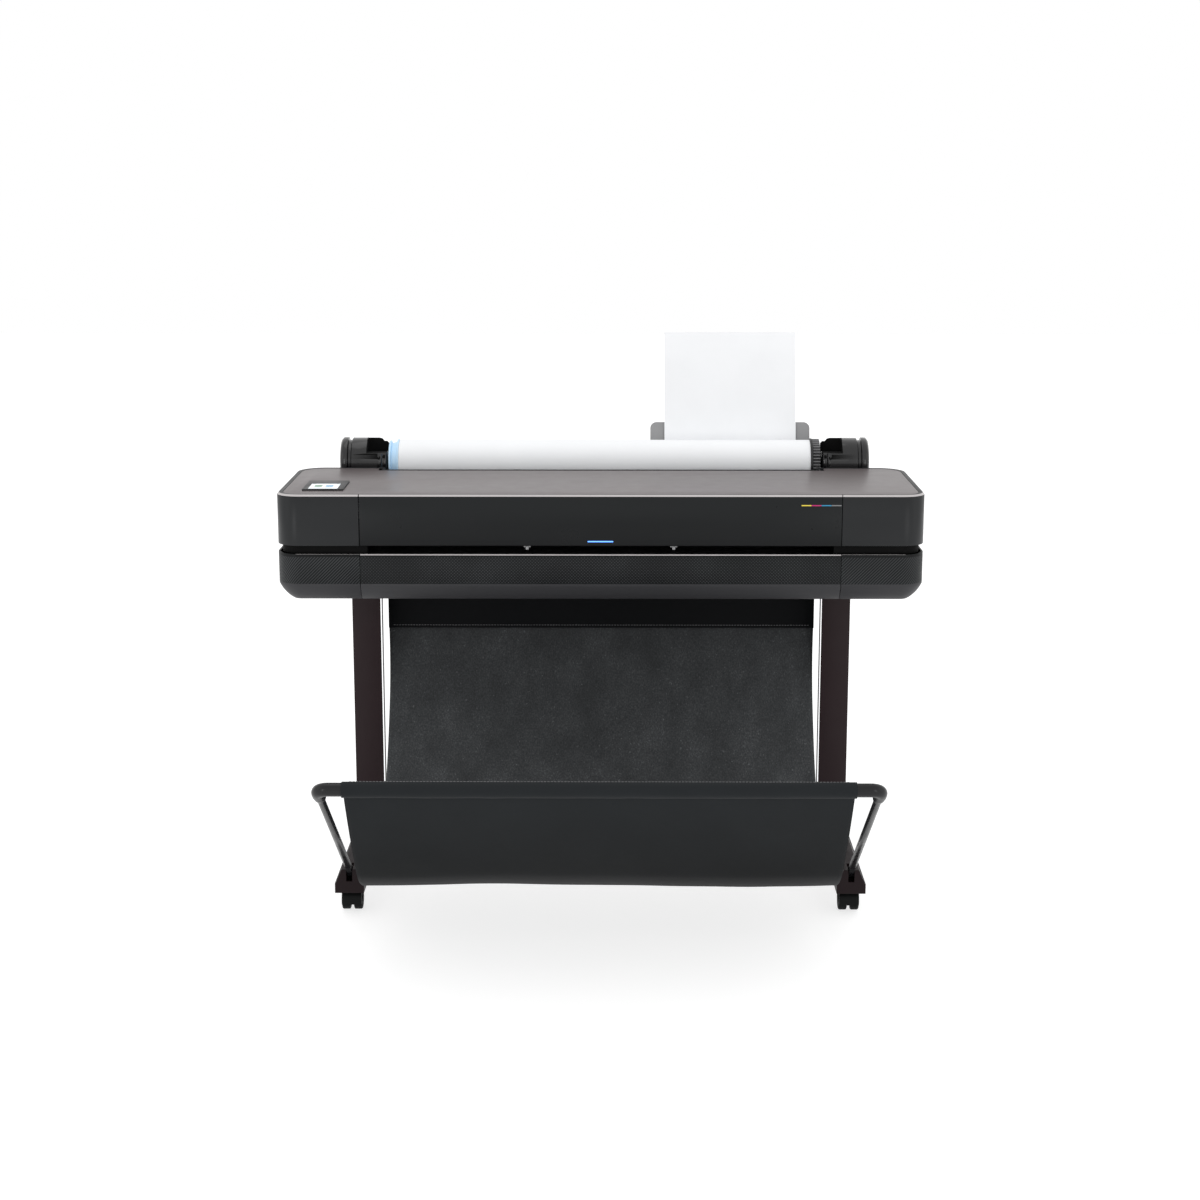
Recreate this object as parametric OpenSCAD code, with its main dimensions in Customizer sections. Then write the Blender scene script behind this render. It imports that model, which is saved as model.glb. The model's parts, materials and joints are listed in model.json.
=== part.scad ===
// Large format plotter on a wheeled stand, with a roll holder, a sheet feeder
// and a fabric catch bin. Millimetres, +Z up, +Y to the back. The origin is on
// the floor, at the centre of the whole object's outline.

/* [Body] */
// Width of the printer body
body_w = 1331; // [1325:1:1400]
// Height of the top plate above the floor
top_z = 869; // [866:0.5:872]
// Height of the upper covers, from the output slot to the top
upper_h = 106; // [102:0.5:107]
// Height of the output slot
slot_h = 17; // [14:0.5:18]
// Height of the lower covers
lower_h = 99; // [97:0.5:101]
// Thickness of the moulded covers
wall = 4; // [3:0.5:5]
// Half the distance between the two vertical seams of the front
seam_x = 493; // [490:1:496]
// Radius of the front corners, seen from above
front_corner_r = 48; // [40:1:50]
// Radius of the rear corners, seen from above
rear_corner_r = 60; // [50:1:70]
// Width of the dark rim round the top plate
rim_w = 12; // [9:0.5:12]

/* [Roll holder] */
// Length of the paper roll, a 36 inch roll
roll_l = 914; // [900:1:916]
// Outer radius of the paper roll
roll_r = 48; // [30:1:48]
// Outer radius of the two roll supports
support_r = 54.5; // [50:0.5:55]
// How far the roll sits to the right of the middle
roll_shift = 7; // [0:1:8]

/* [Sheet feeder] */
// Width of the loose sheet
sheet_w = 297; // [200:1:320]
// Length of the loose sheet
sheet_l = 420; // [300:1:432]
// Lean of the feeder away from upright, in degrees
feeder_lean = 15; // [13:0.5:17]
// Width of the extending back plate
extension_w = 361; // [330:1:370]

/* [Stand] */
// Distance from the middle to the centre of each leg
leg_x = 514; // [512:1:517]
// Width of each leg
leg_w = 62; // [50:1:62]
// Depth of each leg
leg_d = 52; // [40:1:56]
// Length of each foot
foot_l = 605; // [590:1:620]
// Height of the casters under the feet
caster_h = 53; // [52:0.5:58]
// Radius of the caster wheels
wheel_r = 24; // [20:0.5:24]

/* [Catch bin] */
// Width of the bin fabric
fabric_w = 944; // [934:1:950]
// Radius of the front bar
bar_r = 12.5; // [10:0.5:14]
// Thickness of the fabric solids
fabric_t = 3; // [3:0.5:4]

/* [Hidden] */

$fn = 48;
half_w = body_w / 2;
front_y = -26;
rear_y = 359;
notch_y = 328;                       // rear face between the roll supports
notch_x = 477;
upper_z = top_z - upper_h;
lower_top_z = upper_z - slot_h;
bottom_z = lower_top_z - lower_h;
gap = 0.6;                           // gap round a cover that opens
lip_t = 4;
chamfer_in = 30;                     // rounded edge under the lower covers
chamfer_h = 34;
band_in = 9;                         // depth of the groove beside the slot
pan_t = 3;
plate_z = top_z - 4;                 // underside of the top plate
side_plate_x = half_w - 38;
ring_in = 36;                        // inner edge of the frame beside the slot
drop_x = 0.1;                        // overlap of solids that are one piece

// Feed roller, its gear pair and the print carriage
roller_y = 75;
roller_z = 733;
roller_r = 12;
shaft_r = 5;
bracket_x = 486;
gear_mod = 1.5;
gear_teeth = 24;
pinion_teeth = 12;
gear_gap = gear_mod * (gear_teeth + pinion_teeth) / 2;
rail_y = [176, 206];
rail_z = [785, 825];
carriage_x = 530;                    // parked over the service station
belt_y = 194;
belt_z = 843;
pulley_r = 10;
pulley_x = 608;
fit = 0.05;                          // radial clearance of a running fit

// Control panel
bezel_x = [-616, -531];
bezel_y = [31, 147];
screen_x = [-605, -544];
screen_y = [38, 106];

// Ink bay
bay_x = [505, 631];
cartridge_w = 27;
cartridge_pitch = 29.5;

// Roll axis
roll_y = 416;
roll_z = 874;
core_r = 26;
journal_r = 12;
roll_x0 = roll_shift - roll_l / 2;
roll_x1 = roll_shift + roll_l / 2;
flange_w = 22;
support_l = 103;
support_gap = 3;

// Feeder, in a frame that starts at its foot and leans back
feeder_y = 450;
feeder_z = 762;
feeder_x = 291;
sheet_s = -18;                       // where the sheet's lower edge stands

// Stand
leg_y = 278;
foot_y0 = -129;
foot_w = 60;
leg_t = 1.6;                         // sheet steel
foot_x = leg_x + 4;
beam_w = [54, 32];                   // width of the upper beam, below and above
foot_base_z = caster_h + 21;
foot_top_z = 104;
swivel_y = [foot_y0 + 44, foot_y0 + foot_l - 44];
stem_r = 6;
trail = 12;                          // wheel axle behind the swivel axis
web = 3.5;                           // half the thickness between the twin wheels

// Catch bin: the frame's pivot and the bar at rest, as [y, z]
pivot = [-110, 95];
bar = [-541, 401];
arm_l = norm(bar - pivot);
arm_a = atan2(bar[1] - pivot[1], pivot[0] - bar[0]);
slot_w = 12.6;
tongue_w = 10;
tongue_l = 44;
pin_r = 5;
arm_r = 7.5;
arm_splay = 3;                       // how far the arms spread on their way to the bar
splay_a = atan2(arm_splay, arm_l);
band_y = 313;
band_z = 518;
bin_low = [-120, 106];
bin_toe = [-394, 183];

// ---- helpers ----------------------------------------------------------

// The body seen from above, moved in by a margin all round
module plan(in = 0) {
    w = half_w - in;
    rf = front_corner_r - in;
    rr = rear_corner_r - in;
    y0 = front_y + in;
    y1 = rear_y - in;
    difference() {
        union() {
            translate([-w, y0 + rf]) square([2 * w, y1 - rr - y0 - rf]);
            translate([rf - w, y0]) square([2 * (w - rf), rf + drop_x]);
            translate([rr - w, y1 - rr - drop_x]) square([2 * (w - rr), rr + drop_x]);
            for (s = [-1, 1]) {
                translate([s * (w - rf), y0 + rf]) circle(rf);
                translate([s * (w - rr), y1 - rr]) circle(rr);
            }
        }
        translate([-notch_x - in, notch_y - in]) square([2 * (notch_x + in), 80]);
    }
}

// A box between two corners
module block(a, b) {
    translate(a) cube(b - a);
}

// A cylinder along X between two stations
module rod_x(x0, x1, y, z, r) {
    translate([x0, y, z]) rotate([0, 90, 0]) cylinder(h = x1 - x0, r = r);
}

// A tube along X between two stations
module tube_x(x0, x1, y, z, r, bore) {
    difference() {
        rod_x(x0, x1, y, z, r);
        rod_x(x0 - 1, x1 + 1, y, z, bore);
    }
}

// A side profile of [y, z] points, made solid from x0 to x1
module profile_x(x0, x1, points) {
    translate([x0, 0, 0]) rotate([90, 0, 90]) linear_extrude(x1 - x0) polygon(points);
}

// Upper covers as one ring with a lip, cut up by the modules below
module upper_ring(z0) {
    difference() {
        translate([0, 0, z0]) linear_extrude(top_z - z0) plan();
        translate([0, 0, z0 - 1]) linear_extrude(top_z - lip_t - z0 + 1) plan(wall);
        translate([0, 0, top_z - lip_t - 1]) linear_extrude(lip_t + 2) plan(rim_w);
    }
}

function edge_in(a) = chamfer_in * (0.4 * (1 - cos(a)) + 0.6 * a / 90);
function edge_down(a) = chamfer_h * (0.4 * sin(a) + 0.6 * a / 90);

// Section of the lower covers: how far out from the face, and how high
edge_z = bottom_z + chamfer_h;
edge_section = concat([[0, lower_top_z]],
    [for (a = [0 : 10 : 90]) [-edge_in(a), edge_z - edge_down(a)]],
    [for (a = [90 : -10 : 0]) [-wall - edge_in(a), edge_z - edge_down(a)]],
    [[-wall, lower_top_z]]);

function section_from(face, outward) = [for (p = edge_section) [face + outward * p[0], p[1]]];

// A quarter turn of the section round a corner's centre
module edge_corner(r, y, turn) {
    translate([half_w - r, y, 0]) rotate([0, 0, turn]) rotate_extrude(angle = 90, $fn = 64)
        polygon(section_from(r, 1));
}

// The right end of the lower covers, from the seam round both corners
module lower_right_end() {
    y0 = front_y + front_corner_r;
    y1 = rear_y - rear_corner_r;
    x0 = seam_x + 0.5;
    profile_x(x0, half_w - front_corner_r, section_from(front_y, -1));
    profile_x(x0, half_w - rear_corner_r, section_from(rear_y, 1));
    translate([0, y1, 0]) rotate([90, 0, 0]) linear_extrude(y1 - y0)
        polygon(section_from(half_w, 1));
    edge_corner(front_corner_r, y0, -90);
    edge_corner(rear_corner_r, y1, 0);
}

module end_box(side, x, y0 = -500, y1 = 500) {
    x0 = side < 0 ? -half_w - 10 : x;
    x1 = side < 0 ? -x : half_w + 10;
    block([x0, y0, 0], [x1, y1, top_z + 20]);
}

// ---- printer body -----------------------------------------------------

module chassis() {
    color("dimgray") difference() {
        union() {
            translate([0, 0, bottom_z]) linear_extrude(pan_t) plan(chamfer_in + wall);
            for (s = [-1, 1]) {
                x = s < 0 ? -side_plate_x - 4.6 : side_plate_x;
                block([x, 62, bottom_z + 1], [x + 4.6, 300, plate_z]);
                block([s * bracket_x - 2, 50, bottom_z + 1], [s * bracket_x + 2, 100, 744]);
                intersection() {
                    translate([0, 0, lower_top_z]) linear_extrude(slot_h) difference() {
                        plan(band_in);
                        plan(ring_in);
                    }
                    end_box(s, notch_x + 1);
                }
            }
        }
        for (s = [-1, 1]) {
            rod_x(s * bracket_x - 3, s * bracket_x + 3, roller_y, roller_z, shaft_r + fit);
        }
    }
}

module lower_front_cover() {
    ledge = 16;
    section = section_from(front_y, -1);
    top_edge = [[front_y + wall, lower_top_z - 4], [front_y + ledge, lower_top_z - 4],
        [front_y + ledge, lower_top_z]];
    body = [for (i = [0 : len(section) - 2]) section[i]];
    color([0.18, 0.18, 0.19]) profile_x(0.5 - seam_x, seam_x - 0.5, concat(body, top_edge));
}

module lower_end(side) {
    color([0.18, 0.18, 0.19]) mirror([side < 0 ? 1 : 0, 0, 0]) lower_right_end();
}

module upper_left_cover() {
    color([0.16, 0.17, 0.18]) intersection() {
        upper_ring(upper_z);
        end_box(-1, seam_x + 1);
    }
}

module upper_right_cover() {
    color([0.16, 0.17, 0.18]) intersection() {
        upper_ring(upper_z);
        end_box(1, seam_x + 1, 24 + gap, 500);
    }
}

// The top plate, open where the control panel is set in
module top_cover() {
    color([0.55, 0.52, 0.51]) difference() {
        translate([0, 0, plate_z]) linear_extrude(top_z - plate_z - 0.4) plan(rim_w + 0.5);
        block([bezel_x[0], bezel_y[0], plate_z - 1], [bezel_x[1], bezel_y[1], top_z + 1]);
    }
}

module rear_cover() {
    color([0.16, 0.17, 0.18]) difference() {
        intersection() {
            translate([0, 0, bottom_z + pan_t]) linear_extrude(top_z - bottom_z - pan_t)
                difference() {
                    plan();
                    plan(wall);
                }
            block([-seam_x, 200, 0], [seam_x, 500, top_z + 1]);
        }
        block([-420, 300, 672], [-372, 340, 699]);
        block([250, 300, 666], [262, 340, 679]);
        block([280, 300, 666], [296, 340, 681]);
        translate([-320, 300, 685]) rotate([-90, 0, 0]) cylinder(h = 40, r = 8.4);
    }
}

module platen() {
    color([0.12, 0.12, 0.12]) difference() {
        block([-bracket_x + 2, front_y + 16, 735], [bracket_x - 2, 320, 745]);
        block([-470, 60, 734], [470, 90, 746]);
        block([-bracket_x, 60, 734], [bracket_x, 90, 740]);
    }
}

module carriage_rail() {
    color("silver") {
        difference() {
            block([-side_plate_x, rail_y[0], rail_z[0]], [side_plate_x, rail_y[1], rail_z[1]]);
            block([-side_plate_x - 1, rail_y[0] + 4, rail_z[0] + 4],
                [side_plate_x + 1, rail_y[1] - 4, rail_z[1] - 4]);
        }
        for (s = [-1, 1]) {
            translate([s * pulley_x, belt_y, rail_z[1] - 2]) cylinder(h = 32, r = 4);
        }
    }
}

module drive_belt() {
    color([0.1, 0.1, 0.1]) translate([0, 0, belt_z]) linear_extrude(8) difference() {
        union() {
            square_between(-pulley_x, pulley_x, pulley_r + 2);
            for (s = [-1, 1]) translate([s * pulley_x, belt_y]) circle(pulley_r + 2);
        }
        square_between(-pulley_x, pulley_x, pulley_r + 0.4);
        for (s = [-1, 1]) translate([s * pulley_x, belt_y]) circle(pulley_r + 0.4);
    }
}

module square_between(x0, x1, half) {
    translate([x0, belt_y - half]) square([x1 - x0, 2 * half]);
}

module belt_pulley(side) {
    color("silver") translate([side * pulley_x, belt_y, belt_z - 1]) difference() {
        cylinder(h = 10, r = pulley_r);
        translate([0, 0, -1]) cylinder(h = 12, r = 4 + fit);
        for (i = [0 : 11]) {
            rotate(i * 30) translate([pulley_r, 0, 1]) cylinder(h = 8, r = 1, $fn = 16);
        }
    }
}

module service_station() {
    color([0.3, 0.3, 0.32]) difference() {
        block([500, 85, bottom_z + pan_t], [626, 170, 752]);
        block([506, 91, 700], [620, 164, 753]);
    }
}

module ink_bay() {
    color([0.2, 0.2, 0.21]) difference() {
        block([bay_x[0], -16, upper_z], [bay_x[1], 58, 863]);
        block([bay_x[0] + 3, -17, upper_z + 4], [bay_x[1] - 3, 54, 860]);
    }
}

module ink_cartridge(i, tint) {
    x = bay_x[0] + 5 + i * cartridge_pitch;
    color(tint) difference() {
        union() {
            block([x, -10, upper_z + 4], [x + cartridge_w, 52, 852]);
            block([x + 6, -14, 790], [x + cartridge_w - 6, -9.9, 830]);
        }
        block([x + 9, -15, 800], [x + cartridge_w - 9, -12, 820]);
    }
}

module power_supply() {
    color([0.6, 0.6, 0.62]) difference() {
        union() {
            block([-450, 200, bottom_z + pan_t], [-330, 322, 730]);
            block([-420, 321, 672], [-372, 330, 699]);
        }
        block([-416, 312, 676], [-376, 331, 695]);
    }
}

module main_board() {
    color([0.1, 0.4, 0.2]) {
        block([100, 150, 664], [420, 318, 666]);
        for (x = [110, 400]) {
            block([x, 160, bottom_z + pan_t], [x + 8, 168, 664]);
            block([x, 300, bottom_z + pan_t], [x + 8, 308, 664]);
        }
        difference() {
            block([250, 305, 666], [262, 330, 679]);
            block([252, 310, 670], [260, 331, 677]);
        }
        difference() {
            block([280, 305, 666], [296, 330, 681]);
            block([282, 310, 669], [294, 331, 679]);
        }
    }
}

module control_bezel() {
    color([0.1, 0.1, 0.11]) difference() {
        block([bezel_x[0], bezel_y[0], plate_z], [bezel_x[1], bezel_y[1], top_z + 3]);
        block([screen_x[0], screen_y[0], top_z + 1], [screen_x[1], screen_y[1], top_z + 5]);
    }
}

module touch_screen() {
    color([0.9, 0.93, 0.95]) block([screen_x[0] + 0.4, screen_y[0] + 0.4, top_z + 1],
        [screen_x[1] - 0.4, screen_y[1] - 0.4, top_z + 2.6]);
}

module power_button() {
    color([0.75, 0.76, 0.78]) translate([-320, 321, 685]) rotate([-90, 0, 0])
        cylinder(h = 10, r = 8);
}

module front_window() {
    color([0.17, 0.18, 0.19]) intersection() {
        upper_ring(upper_z + gap);
        block([gap - seam_x, front_y - 1, 0], [seam_x - gap, front_y + rim_w, top_z + 1]);
    }
}

module status_light() {
    color([0.2, 0.45, 0.95]) block([-26, front_y - 0.5, 771.5], [26, front_y, 774]);
}

// The four ink colours that the window is marked with
module ink_marks() {
    tints = [[0.75, 0.65, 0.1], [0.75, 0.1, 0.4], [0.1, 0.5, 0.75], [0.35, 0.35, 0.36]];
    for (i = [0 : 3]) {
        color(tints[i]) block([409.5 + i * 20.9, front_y - 0.5, 846.4],
            [427.9 + i * 20.9, front_y, 848.8]);
    }
}

module ink_door() {
    color([0.16, 0.17, 0.18]) intersection() {
        upper_ring(upper_z + gap);
        end_box(1, seam_x + gap, front_y - 1, 24);
    }
}

// ---- paper feed -------------------------------------------------------

module feed_roller() {
    color([0.25, 0.25, 0.25]) union() {
        rod_x(-468, 468, roller_y, roller_z, roller_r);
        rod_x(-502, 492, roller_y, roller_z, shaft_r);
    }
}

// A straight-sided gear seen from its end, with play at every tooth
module gear_2d(teeth, turn) {
    pitch = gear_mod * teeth / 2;
    rotate(turn) union() {
        circle(pitch - 1.2 * gear_mod);
        for (i = [0 : teeth - 1]) {
            rotate(i * 360 / teeth) polygon([[pitch - 1.6 * gear_mod, -1.1],
                [pitch + 0.7 * gear_mod, -0.45], [pitch + 0.7 * gear_mod, 0.45],
                [pitch - 1.6 * gear_mod, 1.1]]);
        }
    }
}

module gear_x(x0, width, y, z, teeth, turn, bore) {
    color("gainsboro") difference() {
        translate([x0, y, z]) rotate([90, 0, 90]) linear_extrude(width) gear_2d(teeth, turn);
        rod_x(x0 - 1, x0 + width + 1, y, z, bore);
    }
}

module feed_gear() {
    gear_x(-500, 8, roller_y, roller_z, gear_teeth, 0, shaft_r);
}

module motor_pinion() {
    gear_x(-501, 10, roller_y, roller_z - gear_gap, pinion_teeth, 180 / pinion_teeth, 3 + fit);
}

module feed_motor() {
    color([0.2, 0.2, 0.2]) union() {
        rod_x(-545, -505, roller_y, roller_z - gear_gap, 21);
        rod_x(-506, -490, roller_y, roller_z - gear_gap, 3);
        block([-545, roller_y - 10, bottom_z + pan_t], [-505, roller_y + 10, 690]);
    }
}

module print_carriage() {
    x0 = carriage_x - 65;
    x1 = carriage_x + 65;
    c = 1.5;
    color([0.14, 0.14, 0.15]) difference() {
        union() {
            block([x0, 80, 757], [x1, rail_y[0] - c, 838]);
            block([x0, 80, rail_z[1] + c], [x1, rail_y[1] + 10, 838]);
            block([x0, rail_y[1] + c, 795], [x1, rail_y[1] + 10, 838]);
        }
        for (i = [0 : 3]) {
            block([x0 + 8 + i * 29.5, 90, 800], [x0 + 34 + i * 29.5, 160, 839]);
        }
    }
}

// ---- roll holder ------------------------------------------------------

module media_roll() {
    color([0.95, 0.95, 0.95]) tube_x(roll_x0, roll_x1, roll_y, roll_z, roll_r, core_r);
}

module roll_spindle() {
    reach = flange_w + support_gap + 42;
    color([0.12, 0.12, 0.12]) union() {
        rod_x(roll_x0, roll_x1, roll_y, roll_z, core_r);
        rod_x(roll_x0 - reach, roll_x1 + reach, roll_y, roll_z, journal_r);
    }
}

module spindle_flange_left() {
    color([0.35, 0.6, 0.85]) tube_x(roll_x0 - flange_w, roll_x0, roll_y, roll_z,
        roll_r + 2, journal_r);
}

module spindle_flange_right() {
    color([0.12, 0.12, 0.13]) difference() {
        tube_x(roll_x1, roll_x1 + flange_w, roll_y, roll_z, roll_r + 4, journal_r);
        for (i = [0 : 11]) {
            translate([roll_x1 + 6, roll_y, roll_z]) rotate([i * 30, 0, 0])
                block([0, -5, roll_r], [flange_w, 5, roll_r + 6]);
        }
    }
}

// Roll support from its inner face (u = 0) outwards; the roll's end drops
// into the cradle from above, over the low front wall
module roll_support(side) {
    x0 = side < 0 ? roll_x0 - flange_w - support_gap : roll_x1 + flange_w + support_gap;
    r = support_r;
    color([0.06, 0.06, 0.07]) translate([x0, roll_y, roll_z]) rotate([0, 0, side < 0 ? 180 : 0])
        difference() {
            union() {
                rotate([0, 90, 0]) rotate_extrude($fn = 72) polygon([[0, 0], [r - 12, 0],
                    [r - 8, 4], [r - 8, 10], [r - 3, 14], [r - 1, 20], [r - 1, 78],
                    [r - 6, 80], [r - 6, 86], [r, 88], [r, 98], [r - 5, 103], [0, 103]]);
                support_foot(side);
            }
            rotate([0, 90, 0]) translate([0, 0, -1]) cylinder(h = 46, r = journal_r + 0.08);
            block([-1, -journal_r - 0.08, 0], [45, journal_r + 0.08, r + 1]);
            if (side < 0) {
                block([-1, 0, 25], [45, r + 1, r + 1]);
            } else {
                block([-1, -r - 1, 25], [45, 0, r + 1]);
            }
        }
}

// The block that carries a roll support on the back of the body
module support_foot(side) {
    front = roll_y - rear_y;
    if (side < 0) {
        block([0, -20, -66], [support_l, front, -20]);
    } else {
        block([0, -front, -66], [support_l, 20, -20]);
    }
}

// ---- sheet feeder -----------------------------------------------------

// Puts children in the feeder's frame: x across, y towards the back of the
// plate and z up the slope
module on_feeder() {
    translate([feeder_x, feeder_y, feeder_z]) rotate([-feeder_lean, 0, 0]) children();
}

module feeder_base() {
    w = extension_w / 2 + 4;
    color([0.5, 0.5, 0.51]) {
        on_feeder() {
            block([-w, 0, sheet_s - 6], [w, 5, 120]);
            block([-w, -12, sheet_s - 6], [w, 0.1, sheet_s - 0.5]);
        }
        block([feeder_x - 150, notch_y, 700], [feeder_x + 150, 446, 727.5]);
    }
}

module feeder_extension() {
    w = extension_w / 2;
    r = 14;
    color([0.58, 0.58, 0.58]) on_feeder() translate([0, 10, 0]) rotate([90, 0, 0])
        linear_extrude(4.5) union() {
            translate([-w, 40]) square([2 * w, 157.7 - r]);
            translate([r - w, 40]) square([2 * (w - r), 157.7]);
            for (s = [-1, 1]) translate([s * (w - r), 197.7 - r]) circle(r);
        }
}

module paper_sheet() {
    color("white") on_feeder() block([-sheet_w / 2, -1, sheet_s],
        [sheet_w / 2, -0.4, sheet_s + sheet_l]);
}

// ---- stand ------------------------------------------------------------

// A folded steel leg, with a long opening in its inner side and one beside it
// in its back
module leg(side) {
    y0 = leg_y - leg_d / 2;
    y1 = leg_y + leg_d / 2;
    x1 = leg_w / 2;
    z0 = foot_top_z + 60;
    z1 = bottom_z - 20;
    color([0.2, 0.17, 0.17]) translate([side * leg_x, 0, 0])
        mirror([side > 0 ? 1 : 0, 0, 0]) union() {
            difference() {
                block([-x1, y0, foot_top_z], [x1, y1, bottom_z]);
                block([leg_t - x1, y0 + leg_t, foot_top_z + 5],
                    [x1 - leg_t, y1 - leg_t, bottom_z - 5]);
                block([x1 - leg_t - 1, y0 + leg_t, z0], [x1 + 1, y1 - 14, z1]);
                block([x1 - 8, y1 - leg_t - 1, z0], [x1 - leg_t, y1 + 1, z1]);
            }
            for (y = [leg_y - 46, y1 - 0.1]) {
                block([-x1, y, bottom_z - 5], [x1, y + 20.1, bottom_z]);
            }
        }
}

module leg_bolts() {
    color("dimgray") for (s = [-1, 1], y = [leg_y - 37, leg_y + 37]) {
        translate([s * leg_x, y, bottom_z - 11]) cylinder(h = 6, r = 5.5, $fn = 6);
    }
}

// A flat base under a beam that narrows upwards, slotted for the bin's arm
module foot(side) {
    y1 = foot_y0 + foot_l;
    x = side * foot_x;
    wide = beam_w[0] / 2;
    narrow = beam_w[1] / 2;
    color([0.19, 0.16, 0.16]) union() {
        difference() {
            union() {
                block([x - foot_w / 2, foot_y0, caster_h], [x + foot_w / 2, y1, foot_base_z]);
                translate([x, y1, 0]) rotate([90, 0, 0]) linear_extrude(foot_l) polygon([
                    [-wide, foot_base_z - 1], [wide, foot_base_z - 1], [wide, foot_base_z + 2],
                    [narrow, foot_top_z], [-narrow, foot_top_z], [-wide, foot_base_z + 2]]);
            }
            block([x - slot_w / 2, foot_y0 - 1, foot_base_z + 4],
                [x + slot_w / 2, pivot[0] + 24, foot_top_z + 1]);
            for (y = swivel_y) {
                translate([x, y, caster_h - 1]) cylinder(h = 16, r = stem_r + fit);
            }
        }
        rod_x(x - slot_w / 2 - 1, x + slot_w / 2 + 1, pivot[0], pivot[1], pin_r);
    }
}

module cross_brace() {
    x = leg_x - leg_w / 2;
    color([0.2, 0.17, 0.17]) difference() {
        block([-x, leg_y + 6, foot_top_z + 2], [x, leg_y + leg_d / 2, foot_top_z + 58]);
        block([-x - 1, leg_y + 8, foot_top_z + 4],
              [x + 1, leg_y + leg_d / 2 - 2, foot_top_z + 56]);
    }
}

module caster_fork(sx, y) {
    color([0.15, 0.15, 0.15]) translate([sx * foot_x, y, 0]) union() {
        translate([0, 0, 50]) cylinder(h = caster_h + 13 - 50, r = stem_r);
        translate([0, 0, 50]) cylinder(h = caster_h - 50.5, r = 17);
        block([-web, -4, wheel_r - 6], [web, trail + 6, 51]);
        rod_x(-22, 22, trail, wheel_r, 4);
    }
}

module caster_wheels(sx, y) {
    color([0.1, 0.1, 0.1]) for (s = [-1, 1]) {
        x0 = sx * foot_x + (s < 0 ? -22 : web + 0.5);
        tube_x(x0, x0 + 21.5 - web, y + trail, wheel_r, wheel_r, 4 + fit);
    }
}

// ---- catch bin --------------------------------------------------------

function bezier(p, t) = pow(1 - t, 3) * p[0] + 3 * pow(1 - t, 2) * t * p[1]
    + 3 * (1 - t) * t * t * p[2] + pow(t, 3) * p[3];

bin_curve_back = [[band_y, band_z], [225, 300], [110, 106], bin_low];
bin_curve_front = [bin_low, [-230, 106], [-340, 132], bin_toe];

// The back and floor of the bin as one line of [y, z] points
bin_line = concat([for (t = [0 : 0.125 : 1]) bezier(bin_curve_back, t)],
    [for (t = [0.25 : 0.25 : 1]) bezier(bin_curve_front, t)]);

module bin_rear_sheet() {
    color([0.24, 0.25, 0.26]) profile_x(-fabric_w / 2, fabric_w / 2,
        concat(bin_line, [for (i = [len(bin_line) - 1 : -1 : 0])
            bin_line[i] + [0, fabric_t * (i == 0 ? 0 : 1)]]));
}

module bin_band() {
    color([0.07, 0.07, 0.08]) block([-fabric_w / 2, band_y - fabric_t / 2, band_z],
        [fabric_w / 2, band_y + fabric_t / 2, bottom_z]);
}

// Puts children at the bin's pivot, with +X along the arm towards the bar
module on_arm() {
    translate([0, pivot[0], pivot[1]]) rotate([-arm_a, 0, 0]) rotate([0, 0, -90]) children();
}

module bin_frame() {
    reach = foot_x + arm_splay;
    color([0.1, 0.1, 0.11]) union() {
        rod_x(-reach, reach, bar[0], bar[1], bar_r);
        for (s = [-1, 1]) on_arm() translate([0, s * foot_x, 0]) {
            rotate([0, 0, s * splay_a]) {
                translate([arm_l, 0, 0]) sphere(bar_r + 1.5);
                translate([arm_l - 42, 0, 0]) rotate([0, 90, 0]) cylinder(h = 42, r = 11);
                translate([tongue_l - 2, 0, 0]) rotate([0, 90, 0])
                    cylinder(h = arm_l - tongue_l, r = arm_r);
            }
            difference() {
                union() {
                    block([0, -tongue_w / 2, -7], [tongue_l, tongue_w / 2, 7]);
                    rotate([90, 0, 0]) translate([0, 0, -tongue_w / 2])
                        cylinder(h = tongue_w, r = 11);
                }
                rotate([90, 0, 0]) translate([0, 0, -tongue_w])
                    cylinder(h = 2 * tongue_w, r = pin_r + fit);
            }
        }
    }
}

module bin_front_panel() {
    low = bin_toe + [0, 6];
    high = bar + [bar_r + 0.5, -8];
    color([0.2, 0.21, 0.22]) profile_x(-fabric_w / 2, fabric_w / 2,
        [low, high, high + [fabric_t, 0], low + [fabric_t, 0]]);
}

// ---- pieces -----------------------------------------------------------

chassis();
lower_front_cover();
lower_end(-1);  // lower_left_cover
lower_end(1);  // lower_right_cover
upper_left_cover();
upper_right_cover();
top_cover();
rear_cover();
platen();
carriage_rail();
drive_belt();
service_station();
ink_bay();
ink_cartridge(0, "gold");  // ink_cartridge_yellow
ink_cartridge(1, "deeppink");  // ink_cartridge_magenta
ink_cartridge(2, "deepskyblue");  // ink_cartridge_cyan
ink_cartridge(3, "dimgray");  // ink_cartridge_black
power_supply();
main_board();
control_bezel();
touch_screen();
roll_support(-1);  // roll_support_left
roll_support(1);  // roll_support_right
feeder_base();
leg(-1);  // leg_left
leg(1);  // leg_right
foot(-1);  // foot_left
foot(1);  // foot_right
cross_brace();
leg_bolts();
bin_band();
bin_rear_sheet();
feed_motor();
front_window();
status_light();
ink_marks();
ink_door();
media_roll();
roll_spindle();
spindle_flange_left();
spindle_flange_right();
print_carriage();
belt_pulley(-1);  // drive_pulley
belt_pulley(1);  // idler_pulley
feed_roller();
feed_gear();
motor_pinion();
bin_frame();
bin_front_panel();
feeder_extension();
paper_sheet();
power_button();
caster_fork(-1, swivel_y[0]);  // caster_fork_front_left
caster_fork(1, swivel_y[0]);  // caster_fork_front_right
caster_fork(-1, swivel_y[1]);  // caster_fork_rear_left
caster_fork(1, swivel_y[1]);  // caster_fork_rear_right
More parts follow.
